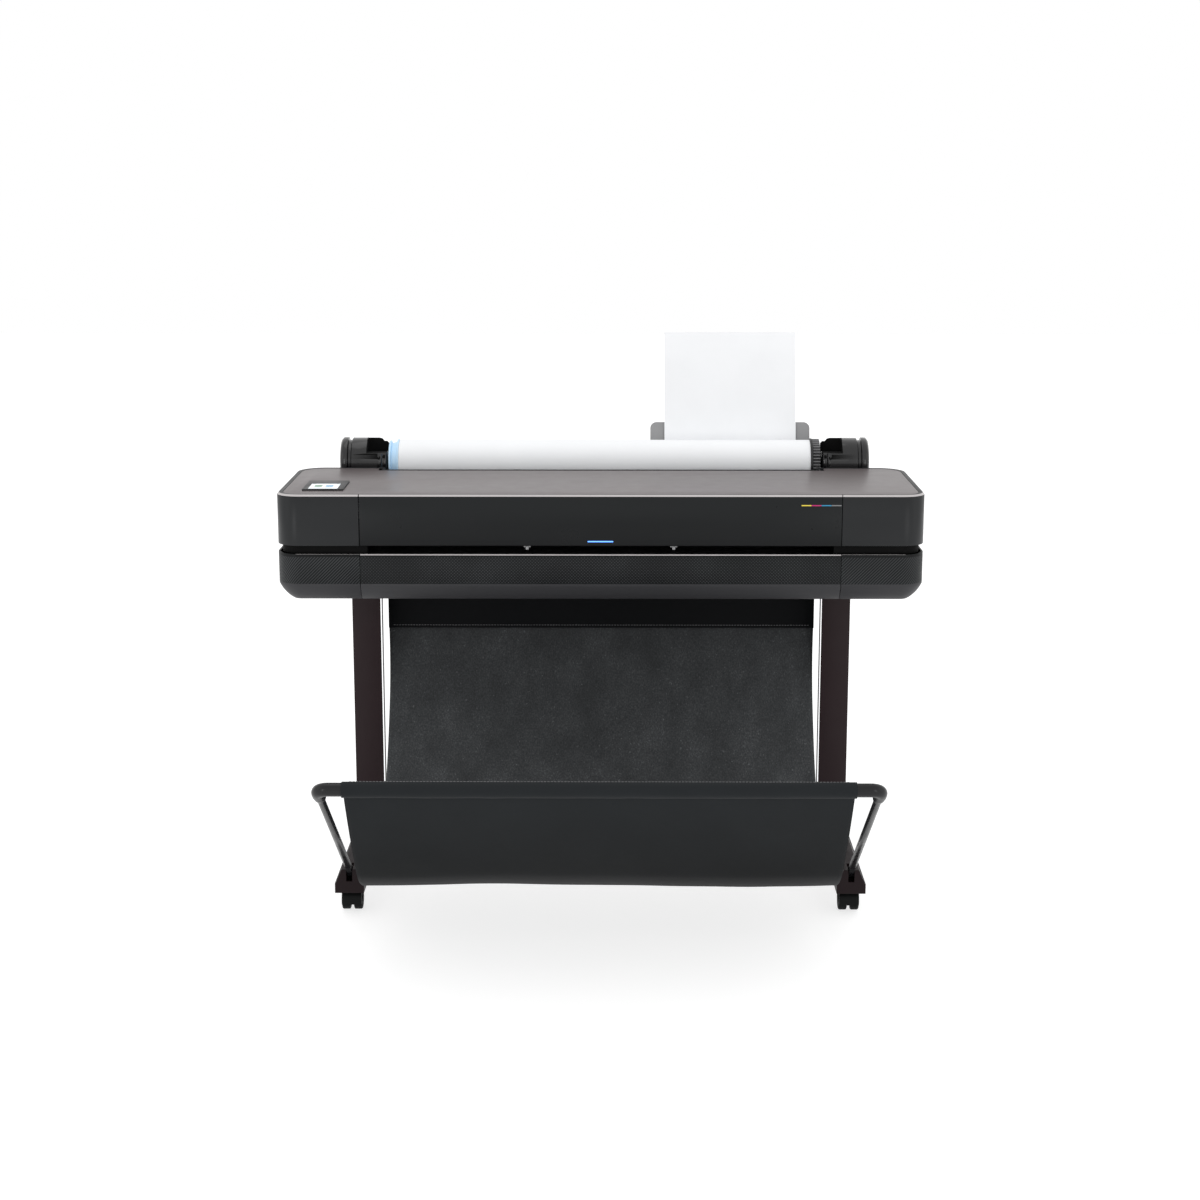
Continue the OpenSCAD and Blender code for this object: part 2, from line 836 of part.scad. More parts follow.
caster_wheels(-1, swivel_y[0]);  // caster_wheels_front_left
caster_wheels(1, swivel_y[0]);  // caster_wheels_front_right
caster_wheels(-1, swivel_y[1]);  // caster_wheels_rear_left
caster_wheels(1, swivel_y[1]);  // caster_wheels_rear_right
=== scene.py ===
"""The looks of a large format plotter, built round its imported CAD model."""

import json
import math

import bmesh
import bpy
from mathutils import Matrix, Vector, noise

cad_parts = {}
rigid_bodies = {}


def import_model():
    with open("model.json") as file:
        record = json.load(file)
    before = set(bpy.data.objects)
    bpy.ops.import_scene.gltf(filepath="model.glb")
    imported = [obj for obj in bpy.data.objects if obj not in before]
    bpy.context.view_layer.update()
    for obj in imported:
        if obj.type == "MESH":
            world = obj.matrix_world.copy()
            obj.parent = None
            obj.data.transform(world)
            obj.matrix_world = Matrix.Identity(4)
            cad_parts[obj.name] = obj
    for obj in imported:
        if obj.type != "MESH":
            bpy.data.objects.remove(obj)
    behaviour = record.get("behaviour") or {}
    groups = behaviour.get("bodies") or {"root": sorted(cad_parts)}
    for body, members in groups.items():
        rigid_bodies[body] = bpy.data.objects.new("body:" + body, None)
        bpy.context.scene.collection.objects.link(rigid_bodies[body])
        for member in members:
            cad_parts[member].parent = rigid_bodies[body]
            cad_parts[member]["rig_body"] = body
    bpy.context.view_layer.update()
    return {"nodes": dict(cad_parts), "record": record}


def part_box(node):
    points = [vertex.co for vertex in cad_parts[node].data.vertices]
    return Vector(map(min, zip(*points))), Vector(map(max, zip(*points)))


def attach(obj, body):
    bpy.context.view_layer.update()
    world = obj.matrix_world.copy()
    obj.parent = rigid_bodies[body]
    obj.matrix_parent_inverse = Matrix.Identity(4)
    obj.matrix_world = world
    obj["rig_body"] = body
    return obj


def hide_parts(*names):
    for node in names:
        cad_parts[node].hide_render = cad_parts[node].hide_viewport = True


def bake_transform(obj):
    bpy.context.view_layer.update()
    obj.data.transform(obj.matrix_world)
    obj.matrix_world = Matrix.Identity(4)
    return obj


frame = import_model()
nodes = frame["nodes"]
MM = 0.001
FLUSH = 0.0005                       # nearer than this is level with a face

# ---- camera, light and floor -------------------------------------------


def add_camera():
    """The camera stands in front, above the part's top, and looks a little down."""
    tilt_down, turn_left = 11.9, 0.29
    data = bpy.data.cameras.new("camera")
    data.lens = 64.5
    data.sensor_width = 36.0
    camera = bpy.data.objects.new("camera", data)
    camera.location = (0.021, -4.35, 1.562)
    camera.rotation_euler = (math.radians(90.0 - tilt_down), 0.0, math.radians(turn_left))
    bpy.context.scene.collection.objects.link(camera)
    bpy.context.scene.camera = camera


def add_area(name, place, target, size, power):
    """A white rectangular softbox at place, turned towards target."""
    data = bpy.data.lights.new(name, "AREA")
    data.shape = "RECTANGLE"
    data.size, data.size_y = size
    data.energy = power
    light = bpy.data.objects.new(name, data)
    light.location = place
    aim = Vector(target) - Vector(place)
    light.rotation_euler = aim.to_track_quat("-Z", "Y").to_euler()
    bpy.context.scene.collection.objects.link(light)


def add_stage():
    """The even light of the white world, and the softboxes."""
    world = bpy.data.worlds.new("studio")
    world.use_nodes = True
    background = world.node_tree.nodes["Background"]
    background.inputs["Color"].default_value = (1.0, 1.0, 1.0, 1.0)
    background.inputs["Strength"].default_value = 1.0
    bpy.context.scene.world = world
    bpy.context.scene.view_settings.view_transform = "Standard"
    add_area("top_softbox", (-0.7, 0.6, 3.8), (-0.2, 0.1, 0.8), (2.2, 1.6), 8.0)
    add_area("left_softbox", (-3.4, -1.4, 1.9), (0.0, 0.0, 0.7), (1.0, 2.4), 4.0)
    add_area("right_softbox", (3.4, -1.2, 1.6), (0.0, 0.0, 0.6), (0.9, 2.4), 4.0)
    add_area("front_fill", (0.0, -5.2, 2.6), (0.0, 0.0, 0.5), (2.6, 1.4), 4.0)
    add_area("left_strip", (-2.6, -3.8, 1.15), (0.0, 0.0, 0.8), (0.26, 2.2), 13.0)
    add_area("right_strip", (2.6, -3.8, 1.15), (0.0, 0.0, 0.8), (0.26, 2.2), 13.0)


def add_floor():
    """The plain pale floor."""
    reach = 14.0
    floor = bpy.data.meshes.new("floor")
    floor.from_pydata([(-reach, -reach, 0), (reach, -reach, 0), (reach, reach, 0),
                       (-reach, reach, 0)], [], [(0, 1, 2, 3)])
    ground = bpy.data.objects.new("floor", floor)
    bpy.context.scene.collection.objects.link(ground)
    pale = bpy.data.materials.new("pale_floor")
    pale.use_nodes = True
    shader = pale.node_tree.nodes["Principled BSDF"]
    shader.inputs["Base Color"].default_value = (0.44, 0.44, 0.44, 1.0)
    shader.inputs["Roughness"].default_value = 0.6
    shader.inputs["Emission Color"].default_value = (1.0, 1.0, 1.0, 1.0)
    shader.inputs["Emission Strength"].default_value = 0.72
    floor.materials.append(pale)


# ---- materials ---------------------------------------------------------

SEAM_X = 0.4925                      # where the front cover meets the end covers
RIBS_LOW, RIBS_TOP = 0.684, 0.740    # the textured band of the lower covers
RIB_PITCH = 0.0046
WINDOW_FOOT = 0.763                  # the height that the window's painted shade starts from: it is painted darkest here and paler upwards
BIN_SHADE_TOP = 0.56                 # the bin's lining is painted darker above this height and paler below it, as painted shade under the body


class Surface:
    """A material whose colour, roughness and bump come from textures in the object's own space."""

    def __init__(self, name, rough=0.5, **sockets):
        self.material = bpy.data.materials.new(name)
        self.material.use_nodes = True
        self.tree = self.material.node_tree
        self.shader = self.tree.nodes["Principled BSDF"]
        self.shader.inputs["Roughness"].default_value = rough
        for socket, value in sockets.items():
            self.shader.inputs[socket.replace("_", " ")].default_value = value
        self.place = self.tree.nodes.new("ShaderNodeTexCoord").outputs["Object"]
        self.normal = None           # the last bump so far, which the next one builds on

    def add(self, kind, **settings):
        """A new shader node of this kind."""
        node = self.tree.nodes.new("ShaderNode" + kind)
        for key, value in settings.items():
            setattr(node, key, value)
        return node

    def link(self, a, b):
        """Joins the output a to the input b."""
        self.tree.links.new(a, b)

    def stretched(self, scale=(1, 1, 1), turn=(0, 0, 0)):
        """The place, scaled and turned by degrees."""
        mapping = self.add("Mapping")
        mapping.inputs["Scale"].default_value = scale
        mapping.inputs["Rotation"].default_value = [math.radians(a) for a in turn]
        self.link(self.place, mapping.inputs["Vector"])
        return mapping.outputs["Vector"]

    def noise(self, scale, detail=3.0, stretch=None):
        """Soft noise from 0 to 1, optionally stretched."""
        node = self.add("TexNoise")
        node.inputs["Scale"].default_value = scale
        node.inputs["Detail"].default_value = detail
        self.link(self.stretched(stretch) if stretch else self.place, node.inputs["Vector"])
        return node.outputs["Fac"]

    def cells(self, scale):
        """The distance to the middle of the nearest of many small cells."""
        node = self.add("TexVoronoi")
        node.inputs["Scale"].default_value = scale
        self.link(self.place, node.inputs["Vector"])
        return node.outputs["Distance"]

    def bands(self, pitch, turn=(0, 0, 0)):
        """Even stripes pitch metres apart, turned by degrees."""
        node = self.add("TexWave", wave_type="BANDS", bands_direction="X")
        pitch_at_one = 0.314         # metres from stripe to stripe at a scale of 1
        node.inputs["Scale"].default_value = pitch_at_one / pitch
        self.link(self.stretched(turn=turn), node.inputs["Vector"])
        return node.outputs["Fac"]

    def math(self, operation, a, b):
        """One sum on two values, each a number or an output."""
        node = self.add("Math", operation=operation)
        for socket, value in zip(node.inputs, (a, b)):
            if isinstance(value, (int, float)):
                socket.default_value = value
            else:
                self.link(value, socket)
        return node.outputs["Value"]

    def ramp(self, fac, stops):
        """A colour for fac, from stops of (position, tint)."""
        node = self.add("ValToRGB")
        elements = node.color_ramp.elements
        while len(elements) < len(stops):
            elements.new(0.5)
        for element, (at, tint) in zip(elements, stops):
            element.position = at
            element.color = (*tint, 1.0)
        self.link(fac, node.inputs["Fac"])
        return node.outputs["Color"]

    def colour(self, fac, stops):
        """Colours the surface by fac through a ramp."""
        self.link(self.ramp(fac, stops), self.shader.inputs["Base Color"])

    def shades(self, tint, spread, scale=6.0):
        """The tint, a little darker and lighter from place to place."""
        dark = [c * (1.0 - spread) for c in tint]
        light = [min(1.0, c * (1.0 + spread)) for c in tint]
        self.colour(self.noise(scale, 4.0), [(0.3, dark), (0.7, light)])

    def uneven_gloss(self, low, high, scale=18.0):
        """Roughness that drifts between low and high."""
        node = self.add("MapRange")
        node.inputs["From Min"].default_value = 0.3
        node.inputs["From Max"].default_value = 0.7
        node.inputs["To Min"].default_value = low
        node.inputs["To Max"].default_value = high
        self.link(self.noise(scale, 5.0), node.inputs["Value"])
        self.link(node.outputs["Result"], self.shader.inputs["Roughness"])

    def bump(self, height, strength, distance):
        """One more layer of bump over the earlier ones."""
        node = self.add("Bump")
        node.inputs["Strength"].default_value = strength
        node.inputs["Distance"].default_value = distance
        self.link(height, node.inputs["Height"])
        if self.normal is not None:
            self.link(self.normal, node.inputs["Normal"])
        self.normal = node.outputs["Normal"]
        self.link(self.normal, self.shader.inputs["Normal"])


def moulded(name, tint, rough, spread=0.05, grain=2200.0, depth=0.00006, **sockets):
    """Moulded plastic with a fine spark-eroded grain."""
    s = Surface(name, rough, **sockets)
    s.shades(tint, spread)
    s.uneven_gloss(rough - 0.03, rough + 0.04)
    s.bump(s.noise(grain, 2.0), 0.35, depth)
    return s.material


def painted(name, tint, rough, uneven=1.0, **sockets):
    """Powder coat or satin paint, with the slight orange peel that it dries with. uneven scales
    its slow changes of colour, gloss and level."""
    s = Surface(name, rough, **sockets)
    s.shades(tint, 0.06 * uneven, 3.0)
    s.uneven_gloss(rough - 0.04 * uneven, rough + 0.06 * uneven, 30.0)
    s.bump(s.noise(1400.0, 3.0), 0.3, 0.00008)
    s.bump(s.noise(160.0, 2.0), 0.12 * uneven, 0.0002)
    return s.material


def ribbed_front():
    """The lower covers: a fine diamond texture, its raised diamonds painted paler than its grooves
    as painted highlight and shade, and a smooth edge under it painted paler as a painted
    reflection of the floor.
    """
    s = Surface("textured_plastic", 0.42, Specular_IOR_Level=0.18)
    s.uneven_gloss(0.38, 0.5)
    split = s.add("SeparateXYZ")
    s.link(s.place, split.inputs["Vector"])
    x, z = split.outputs["X"], split.outputs["Z"]
    # diamonds along the front, and plain slanting ribs that run on round the two end covers
    at_end = s.math("GREATER_THAN", s.math("ABSOLUTE", x, 0.0), SEAM_X)
    turn = s.math("MULTIPLY", s.math("MULTIPLY", s.math("SIGN", x, 0.0), at_end),
                  split.outputs["Y"])
    wrapped = s.add("CombineXYZ")
    s.link(s.math("ADD", x, turn), wrapped.inputs["X"])
    s.link(z, wrapped.inputs["Z"])
    own, s.place = s.place, wrapped.outputs["Vector"]
    rising, falling = s.bands(RIB_PITCH, (0, 45, 0)), s.bands(RIB_PITCH, (0, -45, 0))
    s.place = own
    diamonds = s.math("MULTIPLY", falling, s.math("MAXIMUM", rising, at_end))
    mask = s.math("MULTIPLY", s.math("GREATER_THAN", z, RIBS_LOW),
                  s.math("LESS_THAN", z, RIBS_TOP))
    # painted highlight and shade: the raised diamonds are painted paler than the grooves between
    # them
    raised = s.math("MULTIPLY", diamonds, mask)
    # painted reflection: the smooth edge under the ribs is painted paler, for the bright floor
    # that it faces
    smooth = s.math("MULTIPLY", s.math("LESS_THAN", z, RIBS_LOW), 2.0)
    shade = s.math("ADD", s.math("ADD", raised, smooth), s.noise(6.0, 4.0))
    s.colour(s.math("MULTIPLY", shade, 0.333), [
        (0.16, (0.0025, 0.0032, 0.0035)), (0.30, (0.0088, 0.0102, 0.0112)),
        (0.50, (0.0420, 0.0450, 0.0470)), (0.80, (0.0400, 0.0400, 0.0430))])
    s.bump(raised, 0.9, 0.0007)
    s.bump(s.noise(2200.0, 2.0), 0.3, 0.00006)
    return s.material


def window_with_painted_shade():
    """Smooth tinted plastic, painted darker at its foot and paler at its top, as painted shade and
    light.
    """
    s = Surface("window_plastic", 0.3, Specular_IOR_Level=0.18)
    split = s.add("SeparateXYZ")
    s.link(s.place, split.inputs["Vector"])
    # painted shade: the colour goes from dark at the window's foot to paler at its top
    height = s.math("MULTIPLY", s.math("SUBTRACT", split.outputs["Z"], WINDOW_FOOT), 9.0)
    s.colour(s.math("ADD", height, s.math("MULTIPLY", s.noise(5.0, 4.0), 0.08)), [
        (0.05, (0.0030, 0.0036, 0.0042)), (1.0, (0.0098, 0.0112, 0.0120))])
    s.uneven_gloss(0.26, 0.36)
    s.bump(s.noise(1600.0, 2.0), 0.35, 0.00006)
    return s.material


def mottled_fabric():
    """Needled grey and black fibres, pressed flat: faint clouds, fine grain and pale flecks."""
    s = Surface("bin_fabric", 0.92, Sheen_Weight=0.12, Sheen_Roughness=0.6,
                Specular_IOR_Level=0.25)
    clouds = s.noise(17.0, 8.0, (1.0, 0.7, 0.7))
    grain = s.noise(420.0, 5.0, (1.0, 0.6, 0.6))
    flecks = s.math("MULTIPLY", s.math("GREATER_THAN", s.noise(150.0, 2.0), 0.71), 0.16)
    split = s.add("SeparateXYZ")
    s.link(s.place, split.inputs["Vector"])
    # painted shade: the lining is painted darker towards its top, under the body, and paler lower
    # down
    lower = s.math("MULTIPLY", s.math("SUBTRACT", BIN_SHADE_TOP, split.outputs["Z"]), 0.16)
    mix = s.math("ADD", s.math("MULTIPLY", clouds, 0.35), s.math("MULTIPLY", grain, 0.65))
    s.colour(s.math("ADD", s.math("ADD", mix, lower), flecks), [
        (0.40, (0.025, 0.0265, 0.0280)), (0.52, (0.036, 0.0385, 0.0405)),
        (0.62, (0.050, 0.053, 0.0555)), (0.78, (0.105, 0.110, 0.115))])
    s.bump(grain, 0.5, 0.0006)
    s.bump(clouds, 0.25, 0.002)
    return s.material


def coated_fabric(name, tint, bottom_shade=1.0):
    """Tightly woven cloth with a smooth coating. Where it hangs lowest, a painted shade darkens
    it: its tint is multiplied by bottom_shade."""
    weave = 0.0011
    s = Surface(name, 0.7, Sheen_Weight=0.03, Sheen_Roughness=0.5, Specular_IOR_Level=0.10)
    split = s.add("SeparateXYZ")
    s.link(s.place, split.inputs["Vector"])
    height = s.math("MULTIPLY", split.outputs["Z"], 2.2)
    # painted shade: the cloth is painted darker towards the bottom, where it hangs lowest
    s.colour(s.math("ADD", height, s.math("MULTIPLY", s.noise(9.0, 4.0), 0.20)), [
        (0.38, [c * bottom_shade for c in tint]), (1.0, tint)])
    s.bump(s.math("MULTIPLY", s.bands(weave), s.bands(weave, (0, 90, 0))), 0.45, 0.00018)
    s.bump(s.noise(45.0, 3.0), 0.2, 0.0012)
    return s.material


def paper(name, tint, layered=False):
    """Matt coated paper. layered adds the slight waves of a wound roll."""
    s = Surface(name, 0.78, Specular_IOR_Level=0.3)
    s.shades(tint, 0.012, 14.0)
    s.bump(s.noise(900.0, 5.0), 0.25, 0.00005)
    if layered:
        s.bump(s.noise(60.0, 2.0, (0.4, 1.0, 1.0)), 0.1, 0.0004)
    return s.material


def metal(name, tint, rough):
    """Bare metal with fine lines along its length, which is X."""
    lengthways = (1.0, 30.0, 30.0)
    s = Surface(name, rough, Metallic=1.0)
    s.shades(tint, 0.03, 8.0)
    s.uneven_gloss(rough - 0.02, rough + 0.03, 40.0)
    s.bump(s.noise(60.0, 4.0, lengthways), 0.15, 0.00003)
    return s.material


def lit(name, tint, glow):
    """A lens or a part of the screen, which glows a little."""
    s = Surface(name, 0.3)
    s.shades(tint, 0.03, 40.0)
    s.shader.inputs["Emission Color"].default_value = (*tint, 1.0)
    s.shader.inputs["Emission Strength"].default_value = glow
    s.bump(s.noise(500.0, 1.0), 0.1, 0.00003)
    return s.material


def circuit_board():
    """A green board, mottled in small cells."""
    s = Surface("board_green", 0.4)
    s.colour(s.cells(160.0), [(0.2, (0.012, 0.09, 0.03)), (0.6, (0.03, 0.17, 0.06))])
    s.bump(s.cells(160.0), 0.3, 0.0004)
    return s.material


LOOKS = {
    "body_plastic": moulded("body_plastic", (0.0110, 0.0120, 0.0132), 0.34,
                            Specular_IOR_Level=0.25),
    "window_plastic": window_with_painted_shade(),
    "textured_plastic": ribbed_front(),
    "black_plastic": moulded("black_plastic", (0.008, 0.008, 0.009), 0.45),
    "groove_black": moulded("groove_black", (0.002, 0.002, 0.002), 0.7,
                            Specular_IOR_Level=0.1),
    "grey_plastic": moulded("grey_plastic", (0.270, 0.270, 0.274), 0.5, spread=0.02),
    "gloss_black": moulded("gloss_black", (0.004, 0.004, 0.0045), 0.2, grain=120.0,
                           depth=0.00004, Coat_Weight=0.25, Coat_Roughness=0.1),
    "support_black": moulded("support_black", (0.0045, 0.0045, 0.0050), 0.20, grain=300.0,
                             depth=0.00005, Specular_IOR_Level=0.35, Coat_Weight=0.4,
                             Coat_Roughness=0.1),
    # painted highlight: the pale colour of the thin chamfers along the top rim and the ledge
    "painted_highlight_line": painted("painted_highlight_line", (0.46, 0.435, 0.435), 0.3),
    "top_paint": painted("top_paint", (0.126, 0.106, 0.107), 0.38, uneven=0.3,
                        Metallic=0.1),
    "leg_paint": painted("leg_paint", (0.0165, 0.0075, 0.0090), 0.42, Specular_IOR_Level=0.2),
    "foot_paint": painted("foot_paint", (0.0105, 0.0055, 0.0065), 0.42, Specular_IOR_Level=0.12),
    "tube_black": painted("tube_black", (0.006, 0.006, 0.007), 0.28, Specular_IOR_Level=0.3),
    "frame_steel": painted("frame_steel", (0.36, 0.37, 0.38), 0.4),
    "steel": metal("steel", (0.55, 0.55, 0.56), 0.3),
    "rail_aluminium": metal("rail_aluminium", (0.36, 0.36, 0.37), 0.42),
    "belt_rubber": moulded("belt_rubber", (0.030, 0.030, 0.031), 0.7, grain=700.0),
    "caster_black": moulded("caster_black", (0.0035, 0.0040, 0.0040), 0.4, Specular_IOR_Level=0.1),
    "caster_tread": moulded("caster_tread", (0.0040, 0.0045, 0.0045), 0.6, grain=900.0,
                            Specular_IOR_Level=0.1),
    "gear_plastic": moulded("gear_plastic", (0.68, 0.67, 0.63), 0.5),
    "blue_plastic": moulded("blue_plastic", (0.56, 0.78, 0.98), 0.4),
    "ink_yellow": moulded("ink_yellow", (0.72, 0.56, 0.05), 0.35),
    "ink_magenta": moulded("ink_magenta", (0.45, 0.005, 0.13), 0.4),
    "ink_cyan": moulded("ink_cyan", (0.010, 0.22, 0.40), 0.4),
    "ink_grey": moulded("ink_grey", (0.17, 0.17, 0.175), 0.4),
    "paper": paper("paper", (0.865, 0.875, 0.89), True),
    "bin_fabric": mottled_fabric(),
    "panel_fabric": coated_fabric("panel_fabric", (0.0138, 0.0158, 0.0175), bottom_shade=0.2),
    "band_fabric": coated_fabric("band_fabric", (0.0035, 0.0039, 0.0046)),
    "board_green": circuit_board(),
    "light_blue": lit("light_blue", (0.10, 0.30, 0.95), 1.6),
    "screen_glass": lit("screen_glass", (0.80, 0.86, 0.90), 0.35),
    "icon_green": lit("icon_green", (0.010, 0.20, 0.06), 0.05),
    "icon_blue": lit("icon_blue", (0.09, 0.33, 0.55), 0.08),
}

SLOT_OF = {s["node"]: s["material_slot"] for s in frame["record"]["subparts"]}

# ---- mesh helpers ------------------------------------------------------


def finish_mesh(name, bm, look, smooth=38.0):
    """A new object from bm, smooth except along edges sharper than smooth degrees."""
    bmesh.ops.recalc_face_normals(bm, faces=bm.faces[:])
    for face in bm.faces:
        face.smooth = True
    mesh = bpy.data.meshes.new(name)
    bm.to_mesh(mesh)
    bm.free()
    mesh.set_sharp_from_angle(angle=math.radians(smooth))
    looks = look if isinstance(look, (list, tuple)) else [look]
    for key in looks:
        mesh.materials.append(LOOKS[key])
    piece = bpy.data.objects.new(name, mesh)
    bpy.context.scene.collection.objects.link(piece)
    return piece


def place_piece(piece, body, slot, *stands_for):
    """Gives the piece its body, and hides the CAD nodes whose place it takes. slot is not used."""
    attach(piece, body)
    if stands_for:
        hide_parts(*stands_for)
    return piece


def crisp_edges(bm, angle=30.0):
    """The edges whose two faces meet at more than angle degrees."""
    limit = math.radians(angle)
    return [e for e in bm.edges if e.is_manifold and e.calc_face_angle(0.0) > limit]


def refined(node, width=0.8, look=None, accent=None, segments=2):
    """The CAD node's own shape with its edges rounded. accent is (test, width, look): the edges
    whose middle passes the test get their own wider chamfer in that look."""
    bm = bmesh.new()
    bm.from_mesh(nodes[node].data)
    bmesh.ops.remove_doubles(bm, verts=bm.verts[:], dist=2e-6)
    bmesh.ops.dissolve_limit(bm, angle_limit=math.radians(0.4), verts=bm.verts[:],
                             edges=bm.edges[:])
    for face in bm.faces:
        face.material_index = 0
    slot = SLOT_OF[node]
    looks = [look or slot]
    if accent:
        test, accent_width, accent_look = accent
        edges = [e for e in crisp_edges(bm) if test(e.verts[0].co) and test(e.verts[1].co)]
        looks.append(accent_look)
        bmesh.ops.bevel(bm, geom=edges, offset=accent_width * MM, segments=1, profile=0.5,
                        affect="EDGES", clamp_overlap=True, material=1)
    if width:
        bmesh.ops.bevel(bm, geom=crisp_edges(bm, 50.0), offset=width * MM, segments=segments,
                        profile=0.65, affect="EDGES", clamp_overlap=True, material=-1)
    piece = finish_mesh(node + "_shell", bm, looks)
    return place_piece(piece, nodes[node]["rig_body"], slot, node)


def paint_faces(piece, look, test):
    """Gives the faces whose middle and normal pass the test their own look."""
    piece.data.materials.append(LOOKS[look])
    index = len(piece.data.materials) - 1
    for face in piece.data.polygons:
        if test(face.center, face.normal):
            face.material_index = index


def lathe_x(name, x0, y, z, outline, look, steps=72, arc=360.0, start=0.0, side=1):
    """Turns an outline of (along, radius) millimetres about the X line through y, z. side is
    the way that along runs."""
    bm = bmesh.new()
    closed = arc >= 360.0
    count = steps if closed else steps + 1
    rings = []
    for along, radius in outline:
        ring = []
        for i in range(count):
            a = math.radians(start + arc * i / steps)
            ring.append(bm.verts.new((x0 + side * along * MM, y + radius * MM * math.cos(a),
                                      z + radius * MM * math.sin(a))))
        rings.append(ring)
    for low, high in zip(rings, rings[1:] + rings[:1]):
        for i in range(steps):
            k = (i + 1) % count
            bm.faces.new((low[i], low[k], high[k], high[i]))
    if not closed:
        bm.faces.new([ring[0] for ring in rings])
        bm.faces.new([ring[-1] for ring in reversed(rings)])
    return finish_mesh(name, bm, look)


def arc_points(centre, a, b, turns):
    """Points round a corner from direction a to direction b, both from the centre."""
    return [centre + a * math.cos(t) + b * math.sin(t)
            for t in (math.radians(90.0 * i / turns) for i in range(turns + 1))]


def sweep(name, path, radius, look, sides=28):
    """A round bar along a path of points. radius is one value, or one for each point."""
    radii = radius if isinstance(radius, list) else [radius] * len(path)
    bm = bmesh.new()
    rings = []
    across = None
    for i, point in enumerate(path):
        ahead = (path[min(i + 1, len(path) - 1)] - path[max(i - 1, 0)]).normalized()
        if across is None:
            across = ahead.orthogonal().normalized()
        across = (across - ahead * across.dot(ahead)).normalized()
        up = ahead.cross(across)
        rings.append([bm.verts.new(point + (across * math.cos(a) + up * math.sin(a)) * radii[i])
                      for a in (2 * math.pi * k / sides for k in range(sides))])
    for low, high in zip(rings, rings[1:]):
        for k in range(sides):
            n = (k + 1) % sides
            bm.faces.new((low[k], low[n], high[n], high[k]))
    bm.faces.new(rings[0])
    bm.faces.new(list(reversed(rings[-1])))
    return finish_mesh(name, bm, look)


def rounded_box(bm, low, high, width=0.001, segments=2, index=0):
    """Adds a box with rounded edges to bm."""
    made = bmesh.ops.create_cube(bm, size=1.0)["verts"]
    low, high = Vector(low), Vector(high)
    for vert in made:
        vert.co = Vector([low[i] + (vert.co[i] + 0.5) * (high[i] - low[i]) for i in range(3)])
    edges = list({e for v in made for e in v.link_edges})
    for face in {f for v in made for f in v.link_faces}:
        face.material_index = index
    bmesh.ops.bevel(bm, geom=edges, offset=width, segments=segments, profile=0.6,
                    affect="EDGES", clamp_overlap=True, material=index)


# ---- printer body ------------------------------------------------------

window_low, window_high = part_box("front_window")
lower_low, lower_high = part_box("lower_front_cover")
HALF_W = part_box("ink_door")[1][0]
TOP_Z = window_high[2]
FRONT_Y = window_low[1]
BACK_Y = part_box("upper_left_cover")[1][1]
FRONT_CORNER_R, REAR_CORNER_R = 0.048, 0.060
LIP = 0.008                          # how far in from the outline the rim's edges may lie
RIM_CHAMFER, LEDGE_CHAMFER = 3.6, 2.2    # mm


def on_rim(co):
    """True at the outer edge of the top, where the covers have their thin chamfer, painted pale as
    a painted highlight.
    """
    if co.z < TOP_Z - FLUSH:
        return False
    return (co.y < FRONT_Y + LIP or abs(co.x) > HALF_W - LIP or near_corner(co)
            or co.y > BACK_Y - LIP)


def near_corner(co):
    """True along the outline's rounded corners."""
    place = Vector((abs(co.x), co.y))
    front = place - Vector((HALF_W - FRONT_CORNER_R, FRONT_Y + FRONT_CORNER_R))
    if front.x > 0 and front.y < 0:
        return front.length > FRONT_CORNER_R - LIP
    rear = place - Vector((HALF_W - REAR_CORNER_R, BACK_Y - REAR_CORNER_R))
    return rear.x > 0 and rear.y > 0 and rear.length > REAR_CORNER_R - LIP


def on_ledge(co):
    """True along the upper edge of the lower covers, whose chamfer is painted pale as a painted
    highlight.
    """
    return co.z > lower_high[2] - FLUSH and co.y < lower_low[1] + FLUSH


def on_top(at, way):
    """True for a face that is level with the top of the covers."""
    return way.z > 0.9 and at.z > TOP_Z - FLUSH


def build_body():
    """The covers with their rounded edges and chamfers, the chamfers painted pale as a painted
    highlight, and the chassis and platen.
    """
    rim = (on_rim, RIM_CHAMFER, "painted_highlight_line")
    ledge = (on_ledge, LEDGE_CHAMFER, "painted_highlight_line")
    for node in ("upper_left_cover", "upper_right_cover", "ink_door", "front_window"):
        cover = refined(node, 0.9, accent=rim)
        # painted shadow: the covers' flat tops between the pale chamfer and the top cover are
        # painted black, for the shadow in the gap there
        paint_faces(cover, "black_plastic", on_top)
    refined("lower_front_cover", 0.7, accent=ledge)
    for node in ("lower_left_cover", "lower_right_cover"):
        refined(node, 0.7, look="textured_plastic", accent=ledge)
    refined("top_cover", 0.6)
    refined("rear_cover", 0.6)
    refined("chassis", 0.4, look="groove_black")
    refined("platen", 1.0)


def build_vents():
    """Cooling slots in two rows on the back of the body, drawn as thin dull-black blocks on the
    cover: a painted shade that stands for the dark openings.
    """
    first_x, first_z = -0.20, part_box("rear_cover")[0][2] + 0.045
    pitch_x, pitch_z = 0.012, 0.05
    width, proud, height = 0.004, 0.0008, 0.036
    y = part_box("main_board")[1][1] - 0.0024
    bm = bmesh.new()
    for row in range(2):
        for column in range(14):
            x = first_x + column * pitch_x
            z = first_z + row * pitch_z
            # painted shade: each slot is a black block, not an opening
            rounded_box(bm, (x, y, z), (x + width, y + proud, z + height), 0.0004)
    place_piece(finish_mesh("rear_vents", bm, "groove_black"), "root", "body_plastic")


